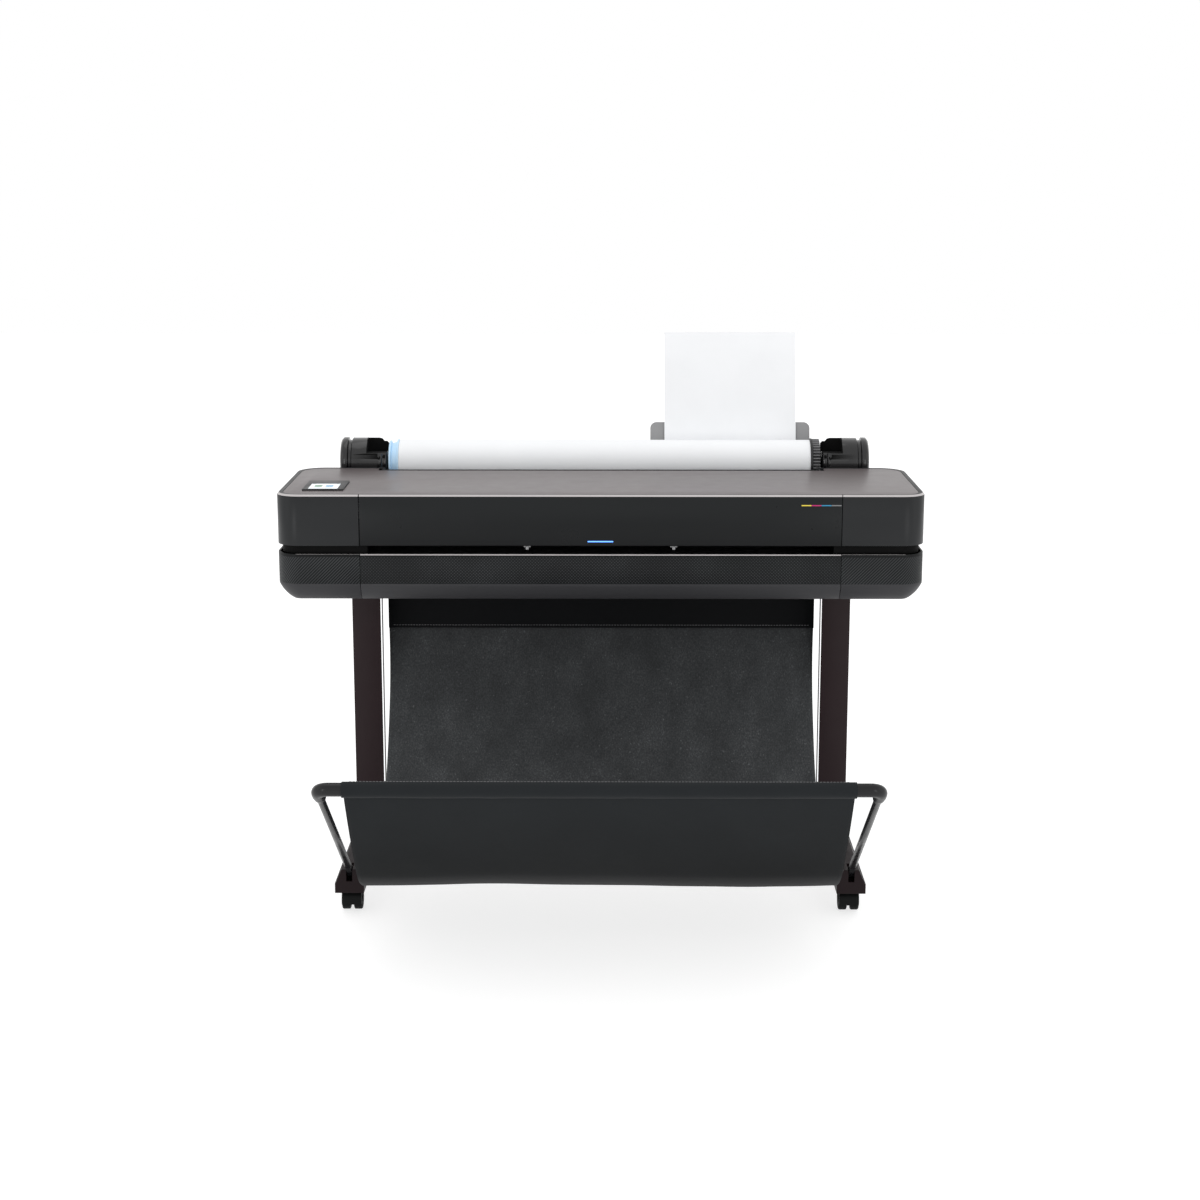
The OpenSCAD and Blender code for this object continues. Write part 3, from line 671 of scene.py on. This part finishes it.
def build_hooks():
    """The two small guides that hang from the window at the top of the output slot."""
    place, plate_half, hook_half = 0.150, 0.007, 0.003
    z = window_low[2]
    for side, name in ((-1, "exit_guide_left"), (1, "exit_guide_right")):
        x = side * place
        bm = bmesh.new()
        rounded_box(bm, (x - plate_half, FRONT_Y + 0.006, z - 0.004),
                    (x + plate_half, FRONT_Y + 0.028, z - 0.0012), 0.0008)
        rounded_box(bm, (x - hook_half, FRONT_Y + 0.004, z - 0.0085),
                    (x + hook_half, FRONT_Y + 0.010, z - 0.0015), 0.0010)
        place_piece(finish_mesh(name, bm, "grey_plastic"), "window", "grey_plastic")


def build_marks():
    """The light bar and the four ink colours, each a thin lens on the window."""
    low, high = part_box("status_light")
    bm = bmesh.new()
    rounded_box(bm, low, high, 0.0003)
    place_piece(finish_mesh("status_light_lens", bm, "light_blue"), "window", "light_blue",
                "status_light")
    low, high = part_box("ink_marks")
    inks = ["ink_yellow", "ink_magenta", "ink_cyan", "ink_grey"]
    mark = 0.020
    pitch = (high[0] - low[0] - mark) / (len(inks) - 1)
    bm = bmesh.new()
    for i in range(len(inks)):
        x = low[0] + i * pitch
        rounded_box(bm, (x, low[1], low[2]), (x + mark, high[1], high[2]), 0.0003, 2, i)
    place_piece(finish_mesh("ink_colour_bars", bm, inks), "window", "ink_grey", "ink_marks")


def build_panel():
    """The control panel: a dark bezel and a screen with plain generic icons."""
    refined("control_bezel", 1.0, look="black_plastic")
    refined("touch_screen", 0.3)
    low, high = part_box("touch_screen")
    width, depth = high[0] - low[0], high[1] - low[1]
    z = high[2]
    icons = bmesh.new()
    # the left, the front, the width and the depth as shares of the screen, and the look
    for column, row, w, h, look in ((0.16, 0.38, 0.26, 0.30, 0), (0.54, 0.38, 0.26, 0.30, 1),
                                    (0.16, 0.22, 0.26, 0.04, 2), (0.54, 0.22, 0.26, 0.04, 2),
                                    (0.04, 0.90, 0.14, 0.03, 2), (0.86, 0.90, 0.10, 0.03, 2)):
        rounded_box(icons, (low[0] + column * width, low[1] + row * depth, z - 0.0001),
                    (low[0] + (column + w) * width, low[1] + (row + h) * depth, z + 0.0002),
                    0.0001, 1, look)
    place_piece(finish_mesh("screen_icons", icons, ["icon_green", "icon_blue", "grey_plastic"]),
                "root", "screen_glass")


# ---- inside ------------------------------------------------------------

INSIDE = ["carriage_rail", "drive_belt", "service_station", "ink_bay", "ink_cartridge_yellow",
          "ink_cartridge_magenta", "ink_cartridge_cyan", "ink_cartridge_black",
          "power_supply", "main_board", "feed_motor", "print_carriage", "drive_pulley",
          "idler_pulley", "feed_roller", "feed_gear", "motor_pinion", "power_button",
          "leg_bolts", "cross_brace"]


def build_inside():
    """Gives the parts that keep their CAD shape their material."""
    for node in INSIDE:
        obj = nodes[node]
        obj.data.materials.clear()
        obj.data.materials.append(LOOKS[SLOT_OF[node]])


# ---- roll holder and sheet feeder --------------------------------------

SPINDLE_R = 12.0                     # mm


def build_roll():
    """The roll of paper, its flanges and spindle, and the supports that carry them."""
    low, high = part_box("media_roll")
    y, z = (low[1] + high[1]) / 2, (low[2] + high[2]) / 2
    build_paper_roll(y, z)
    build_flanges(y, z)
    build_spindle(y, z)
    build_roll_supports(y, z)


def build_paper_roll(y, z):
    """The wound paper on its core, and the loose end of the web round it."""
    low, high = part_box("media_roll")
    r = (high[1] - low[1]) / 2 / MM
    length = (high[0] - low[0]) / MM
    core, edge = 26.0, 0.8
    ends = [(0, core), (0, r - edge), (edge, r), (length - edge, r), (length, r - edge),
            (length, core)]
    roll = lathe_x("paper_roll", low[0], y, z, ends, "paper", 120)
    place_piece(roll, "roll", "paper", "media_roll")
    # the loose end is one wrap thicker than the rest
    under, over = r - 0.2, r + 0.5
    wrap = [(0, under), (0, over), (length - 1, over), (length - 1, under)]
    flap = lathe_x("roll_outer_wrap", low[0] + 0.0005, y, z, wrap, "paper", 90, 300.0, 40.0)
    place_piece(flap, "roll", "paper")


def build_flanges(y, z):
    """The smooth blue flange on the left and the ribbed black one on the right, whose ribs are
    coloured grey as a painted highlight.
    """
    low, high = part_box("spindle_flange_left")
    r = (high[1] - low[1]) / 2 / MM
    outline = [(0, SPINDLE_R), (0, r - 1), (1, r), (3.5, r), (4.5, r - 1.5), (5, r - 6),
               (17, r - 9), (18, r - 3), (21, r - 3), (22, r - 5), (22, SPINDLE_R)]
    blue = lathe_x("blue_flange", high[0], y, z, outline, "blue_plastic", 96, side=-1)
    place_piece(blue, "roll", "blue_plastic", "spindle_flange_left")

    low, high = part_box("spindle_flange_right")
    r = (high[1] - low[1]) / 2 / MM
    outline = [(0, SPINDLE_R), (0, r - 1), (1, r), (4, r), (5, r - 1), (5, r - 9),
               (20, r - 11), (22, r - 13), (22, SPINDLE_R)]
    disc = lathe_x("ribbed_flange", low[0], y, z, outline, "black_plastic", 96)
    place_piece(disc, "roll", "black_plastic", "spindle_flange_right")
    # painted highlight: the black flange's ribs are coloured grey for the light that catches them
    count, half_rib = 44, 0.0010
    ribs = bmesh.new()
    for i in range(count):
        turn = Matrix.Rotation(2 * math.pi * i / count, 4, "X")
        before = set(ribs.verts)
        rounded_box(ribs, (low[0] + 0.0045, -half_rib, (r - 14) * MM),
                    (high[0] - 0.0015, half_rib, (r - 1) * MM), 0.0005)
        for vert in set(ribs.verts) - before:
            vert.co = turn @ vert.co + Vector((0, y, z))
    place_piece(finish_mesh("flange_ribs", ribs, "ink_grey"), "roll", "black_plastic")


def build_spindle(y, z):
    """The bar through the roll, chamfered at both ends."""
    low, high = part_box("roll_spindle")
    span = (high[0] - low[0]) / MM
    centre, chamfer = 1.0, 1.5
    outline = [(0, centre), (0, SPINDLE_R - chamfer), (chamfer, SPINDLE_R),
               (span - chamfer, SPINDLE_R), (span, SPINDLE_R - chamfer), (span, centre)]
    bar = lathe_x("spindle_bar", low[0], y, z, outline, "black_plastic", 64)
    place_piece(bar, "roll", "black_plastic", "roll_spindle")


def build_roll_supports(y, z):
    """The glossy supports, with the flat faces in the pocket that the spindle drops into painted a
    dull near-black, as painted shade in the pocket.
    """
    skin, pocket = 0.0015, 0.0455    # from the inner face: where the pocket starts and ends
    for side, node in ((-1, "roll_support_left"), (1, "roll_support_right")):
        support = refined(node, 1.0, look="support_black")
        low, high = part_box(node)
        inner = high[0] if side < 0 else low[0]
        # painted shade: the pocket's faces are painted near-black for the shade inside it
        paint_faces(support, "groove_black", lambda at, way: (
            skin < abs(at.x - inner) < pocket and at.z > z + 0.012 and at.y < y + 0.030
            and (way.z > 0.9 or way.y < -0.9 or abs(way.x) > 0.9)))


def build_feeder():
    """The rear sheet feeder, with one loose sheet of paper in it."""
    refined("feeder_base", 1.0)
    refined("feeder_extension", 1.4)
    low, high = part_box("paper_sheet")
    rise = Vector((0, high[1] - low[1], high[2] - low[2]))
    up = rise.normalized()
    front = Vector((0, -up.z, up.y))
    foot = Vector((0, low[1] + 0.0006, low[2]))
    across, along = 24, 36
    thick, curl_from = 0.00025, 0.55
    bm = bmesh.new()
    for skin in (0.0, thick):
        grid = []
        for j in range(along + 1):
            t = j / along
            row = []
            for i in range(across + 1):
                u = i / across
                x = low[0] + u * (high[0] - low[0])
                # the free top of the sheet curls a little to the back
                curl = -0.0022 * max(0.0, t - curl_from) ** 2 / 0.2
                wave = 0.0004 * math.sin(math.pi * u) * t
                row.append(bm.verts.new(Vector((x, 0, 0)) + foot + up * rise.length * t
                                        + front * (curl + wave + skin)))
            grid.append(row)
        for j in range(along):
            for i in range(across):
                bm.faces.new((grid[j][i], grid[j][i + 1], grid[j + 1][i + 1], grid[j + 1][i]))
    edge = [e for e in bm.edges if e.is_boundary]
    bmesh.ops.bridge_loops(bm, edges=edge)
    place_piece(finish_mesh("loose_sheet", bm, "paper"), "sheet", "paper", "paper_sheet")


# ---- stand -------------------------------------------------------------


def build_stand():
    """The legs and feet, and the heads of the two screws in each leg's outer side."""
    for node in ("leg_left", "leg_right", "foot_left", "foot_right"):
        refined(node, 2.2, segments=3)
    head_r, flatten = 0.0065, 0.35
    half_leg, screw_y = 0.031, 0.278
    bm = bmesh.new()
    for side in (-1, 1):
        low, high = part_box("leg_left" if side < 0 else "leg_right")
        x = (low[0] + high[0]) / 2 + side * half_leg
        for z in (low[2] + 0.04, low[2] + 0.11):
            made = bmesh.ops.create_uvsphere(bm, u_segments=16, v_segments=8, radius=head_r)
            for vert in made["verts"]:
                vert.co = Vector((x + vert.co.x * flatten, screw_y + vert.co.y, z + vert.co.z))
    place_piece(finish_mesh("leg_side_screws", bm, "steel"), "root", "steel")


def build_casters():
    """Four casters, each with two wheels side by side, a fork and a hood over the wheels."""
    face, bore = 20.6, 4.05          # mm from the middle of the pair, and round the axle
    for corner in ("front_left", "front_right", "rear_left", "rear_right"):
        low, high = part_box("caster_wheels_" + corner)
        y, z = (low[1] + high[1]) / 2, (low[2] + high[2]) / 2
        x = (low[0] + high[0]) / 2
        r = (high[2] - low[2]) / 2 / MM
        body = "wheels_" + corner
        outline = [(4.0, bore), (4.0, r - 2), (5.5, r), (19.0, r), (face, r - 1.6),
                   (face, r - 4.5), (19.4, r - 5.5), (19.4, 9), (face, 8), (face, bore)]
        for side, hand in ((-1, "outer_l"), (1, "outer_r")):
            wheel = lathe_x("wheel_" + hand + "_" + corner, x, y, z, outline, "caster_tread",
                            72, side=side)
            if side < 0:
                place_piece(wheel, body, "caster_tread", "caster_wheels_" + corner)
            else:
                place_piece(wheel, body, "caster_tread")
        refined("caster_fork_" + corner, 0.8)
        wide, under, over, round_off = 2 * face, r + 0.9, r + 3.4, 0.9
        shell = [(0, under), (0, r + 2.6), (round_off, over), (wide - round_off, over),
                 (wide, r + 2.6), (wide, under)]
        hood = lathe_x("caster_hood_" + corner, x - face * MM, y, z, shell, "caster_black",
                       48, 140.0, 55.0)
        place_piece(hood, "fork_" + corner, "caster_black")


# ---- catch bin ---------------------------------------------------------

BAR_Y, BAR_Z = -0.541, 0.401         # the middle of the front bar
PIVOT_X, PIVOT_Y, PIVOT_Z = 0.518, -0.110, 0.095
ARM_TOP_X = 0.521
FABRIC_HALF = 0.474                  # half the cloth's width at the bar,
FABRIC_BAND = 0.471                  # at the band,
FABRIC_BACK = 0.466                  # and between them
BAR_R, ELBOW_R, ARM_R = 0.0125, 0.0130, 0.0075
SLEEVE_R = 0.0150
band_low, band_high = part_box("bin_band")
BAND_Y = band_low[1] + 0.0015
BAND_LOW = band_low[2]
TOE = Vector((0, -0.394, 0.183))     # where the floor of the cloth turns up to the bar
LOWEST = Vector((0, -0.120, 0.106))


def bezier(points, t):
    """The point at t on the curve that these four points control."""
    a, b, c, d = points
    return a * (1 - t) ** 3 + b * 3 * t * (1 - t) ** 2 + c * 3 * t * t * (1 - t) + d * t ** 3


def bin_profile():
    """The line of the cloth from the band down, forwards and up to the bar, evenly spaced."""
    back = [Vector((0, BAND_Y, BAND_LOW)), Vector((0, 0.225, 0.300)),
            Vector((0, 0.110, 0.106)), LOWEST]
    floor = [LOWEST, Vector((0, -0.230, 0.106)), Vector((0, -0.340, 0.132)), TOE]
    head = Vector((0, BAR_Y + 0.012, BAR_Z - 0.014))
    panel = [TOE, TOE + Vector((0, -0.030, 0.034)), head + Vector((0, 0.030, -0.060)), head]
    rough = []
    for curve, count in ((back, 60), (floor, 40), (panel, 40)):
        rough += [bezier(curve, i / count) for i in range(count)]
    rough.append(head)
    return even_steps(rough, 0.0075)


def even_steps(points, step):
    """The same line again, in equal lengths of about step."""
    total = sum((b - a).length for a, b in zip(points, points[1:]))
    count = round(total / step)
    made, walked, index = [points[0].copy()], 0.0, 0
    for k in range(1, count):
        goal = total * k / count
        while walked + (points[index + 1] - points[index]).length < goal:
            walked += (points[index + 1] - points[index]).length
            index += 1
        a, b = points[index], points[index + 1]
        made.append(a.lerp(b, (goal - walked) / (b - a).length))
    made.append(points[-1].copy())
    return made


def half_width(t):
    """Half the cloth's width from the band, at 0, to the bar, at 1."""
    drawn_in, widening = 0.15, 0.70
    if t < drawn_in:
        return FABRIC_BACK + (FABRIC_BAND - FABRIC_BACK) * (1 - t / drawn_in) ** 2
    rise = max(0.0, (t - widening) / 0.30)
    return FABRIC_BACK + (FABRIC_HALF - FABRIC_BACK) * rise


def build_bin_cloth():
    """One sheet along the bin's line, with its slack, soft waves and small puckers. Returns the
    sheet and the line."""
    line = bin_profile()
    columns = 120
    sag, waves, puckers = 0.006, 0.006, 0.0022
    bm = bmesh.new()
    rows = []
    last = len(line) - 1
    for j, point in enumerate(line):
        ahead = (line[min(j + 1, last)] - line[max(j - 1, 0)]).normalized()
        out = Vector((0, -ahead.z, ahead.y))
        t = j / last
        hold = min(1.0, 6 * t, 6 * (1 - t))
        row = []
        for i in range(columns + 1):
            u = 2 * i / columns - 1
            x = u * half_width(t)
            slack = sag * (1 - u * u) * hold * max(0.0, 1.0 - 1.6 * t)
            soft = noise.noise(Vector((x * 3.2, t * 5.0, 1.7))) * waves
            pucker = noise.noise(Vector((x * 9.0, t * 2.2, 4.1))) * puckers
            edge = 1.0 - 0.35 * abs(u) ** 8
            shift = (soft + pucker) * hold * edge - slack
            row.append(bm.verts.new(Vector((x, point.y, point.z)) - out * shift))
        rows.append(row)
    for j in range(last):
        for i in range(columns):
            bm.faces.new((rows[j][i], rows[j][i + 1], rows[j + 1][i + 1], rows[j + 1][i]))
    cloth = finish_mesh("bin_cloth", bm, ["panel_fabric", "bin_fabric"], 180.0)
    thick = cloth.modifiers.new("thickness", "SOLIDIFY")
    thick.thickness = 0.0016
    thick.offset = 0.0
    thick.material_offset = 1
    return cloth, line


def build_sleeve():
    """The cloth's own sleeve round the front bar, with a hem seam below it."""
    count, overhang = 120, 1.003
    bar = Vector((0, BAR_Y, BAR_Z))
    to_hem = Vector((0, 0.55, -0.83))
    path = [Vector((FABRIC_HALF * (2 * i / count - 1) * overhang, BAR_Y, BAR_Z))
            for i in range(count + 1)]
    sleeve = sweep("bar_sleeve", path, SLEEVE_R, "panel_fabric", 40)
    for vert in sleeve.data.vertices:
        out = Vector((0, vert.co.y - bar.y, vert.co.z - bar.z))
        if out.length < 0.001:
            continue
        crease = noise.noise(Vector((vert.co.x * 26.0, out.y * 40.0, out.z * 40.0))) * 0.0006
        # the cloth is drawn down and back to the hem
        hem = 0.0035 * max(0.0, out.normalized().dot(to_hem)) ** 6
        vert.co += out.normalized() * (crease + hem)
    place_piece(sleeve, "bin", "bin_fabric")
    return sleeve


def build_stitches(name, start, end, side, body):
    """A row of raised stitches from start to end, on the side that the vector points to."""
    length, pitch, thick, proud = 0.0042, 0.0062, 0.00045, 0.0006
    run = end - start
    along = run.normalized()
    other = along.cross(side).normalized()
    bm = bmesh.new()
    for i in range(int(run.length / pitch)):
        centre = start + along * (i + 0.5) * pitch + side * proud
        before = set(bm.verts)
        rounded_box(bm, (-length / 2, -thick, -thick), (length / 2, thick, thick), thick * 0.8)
        for vert in set(bm.verts) - before:
            c = vert.co
            vert.co = centre + along * c.x + other * c.y + side * c.z
    place_piece(finish_mesh(name, bm, "ink_grey"), body, "bin_fabric")


def arm_frame(side):
    """The two ends of the arm on this side, and the direction from its pivot to the bar."""
    foot = Vector((side * PIVOT_X, PIVOT_Y, PIVOT_Z))
    head = Vector((side * ARM_TOP_X, BAR_Y, BAR_Z))
    return foot, head, (head - foot).normalized()


def build_bin_frame():
    """The front bar with its elbows, and the two arms with their cuffs and flat ends."""
    inner, bend = 0.496, 0.019
    bar = sweep("bin_bar", [Vector((-inner, BAR_Y, BAR_Z)), Vector((0, BAR_Y, BAR_Z)),
                            Vector((inner, BAR_Y, BAR_Z))], BAR_R, "tube_black", 40)
    place_piece(bar, "bin", "tube_black", "bin_frame")
    for side, word in ((-1, "left"), (1, "right")):
        foot, head, along = arm_frame(side)
        inward = Vector((-side, 0, 0))
        centre = head + inward * bend - along * bend
        turn = arc_points(centre, along * bend, -inward * bend, 10)
        path = [head + inward * 0.044] + turn + [head - along * 0.030]
        elbow = sweep("bin_elbow_" + word, path, ELBOW_R, "tube_black", 36)
        place_piece(elbow, "bin", "tube_black")
        cuff = [head - along * d for d in (0.029, 0.030, 0.032, 0.046, 0.052, 0.054)]
        radii = [0.0115, 0.0122, 0.0126, 0.0112, 0.0098, 0.0078]
        place_piece(sweep("bin_cuff_" + word, cuff, radii, "tube_black", 36), "bin", "tube_black")
        # the arm's upper end lies inside the cuff
        arm = [foot + along * 0.040, foot + along * 0.043, foot.lerp(head, 0.5),
               head - along * 0.050]
        place_piece(sweep("bin_arm_" + word, arm, [0.0052, ARM_R, ARM_R, ARM_R],
                          "tube_black", 32), "bin", "tube_black")
        place_piece(arm_tongue(foot, along, word), "bin", "tube_black")


def arm_tongue(foot, along, word):
    """The flat end of the arm, round its pivot pin."""
    lift = Vector((1, 0, 0)).cross(along)
    half_thick, eye_r, bore_r = 0.0050, 0.0110, 0.00505
    length, half_deep = 0.0450, 0.0070
    outline = [along * length + lift * half_deep]
    outline += [(along * math.cos(a) + lift * math.sin(a)) * eye_r
                for a in (math.radians(50 + 13 * i) for i in range(21))]
    outline.append(along * length - lift * half_deep)
    hole = [(along * math.cos(a) + lift * math.sin(a)) * bore_r
            for a in (2 * math.pi * i / 24 for i in range(24))]
    bm = bmesh.new()
    skins = []
    for x in (-half_thick, half_thick):
        rim = [bm.verts.new(foot + p + Vector((x, 0, 0))) for p in outline]
        bore = [bm.verts.new(foot + p + Vector((x, 0, 0))) for p in hole]
        edges = [bm.edges.new((ring[i], ring[(i + 1) % len(ring)]))
                 for ring in (rim, bore) for i in range(len(ring))]
        bmesh.ops.triangle_fill(bm, edges=edges, use_beauty=True)
        skins.append((rim, bore))
    for near, far in zip(*skins):
        for i in range(len(near)):
            k = (i + 1) % len(near)
            bm.faces.new((near[i], near[k], far[k], far[i]))
    return finish_mesh("bin_tongue_" + word, bm, "tube_black")


def build_bin():
    """The catch bin: its band under the body, the hung cloth, the stitches and the frame."""
    bm = bmesh.new()
    rounded_box(bm, (band_low[0], band_low[1], band_low[2] - 0.002), band_high, 0.0012)
    band = finish_mesh("bin_top_band", bm, "band_fabric")
    place_piece(band, "root", "band_fabric", "bin_band")
    cloth, line = build_bin_cloth()
    sleeve = build_sleeve()
    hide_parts("bin_rear_sheet", "bin_front_panel")
    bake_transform(cloth)
    seam = FABRIC_HALF - 0.012
    face, z = band_low[1], band_low[2] + 0.005
    build_stitches("band_stitches", Vector((-seam, face, z)), Vector((seam, face, z)),
                   Vector((0, -1, 0)), "root")
    crown = BAR_Z + SLEEVE_R + 0.0002
    build_stitches("sleeve_stitches", Vector((-seam, BAR_Y, crown)), Vector((seam, BAR_Y, crown)),
                   Vector((0, 0, 1)), "bin")
    build_bin_frame()


# ---- everything --------------------------------------------------------


def build_all():
    """The whole picture, in the order that the pieces are made."""
    add_camera()
    add_stage()
    add_floor()
    build_inside()
    build_body()
    build_vents()
    build_hooks()
    build_marks()
    build_panel()
    build_roll()
    build_feeder()
    build_stand()
    build_casters()
    build_bin()


build_all()
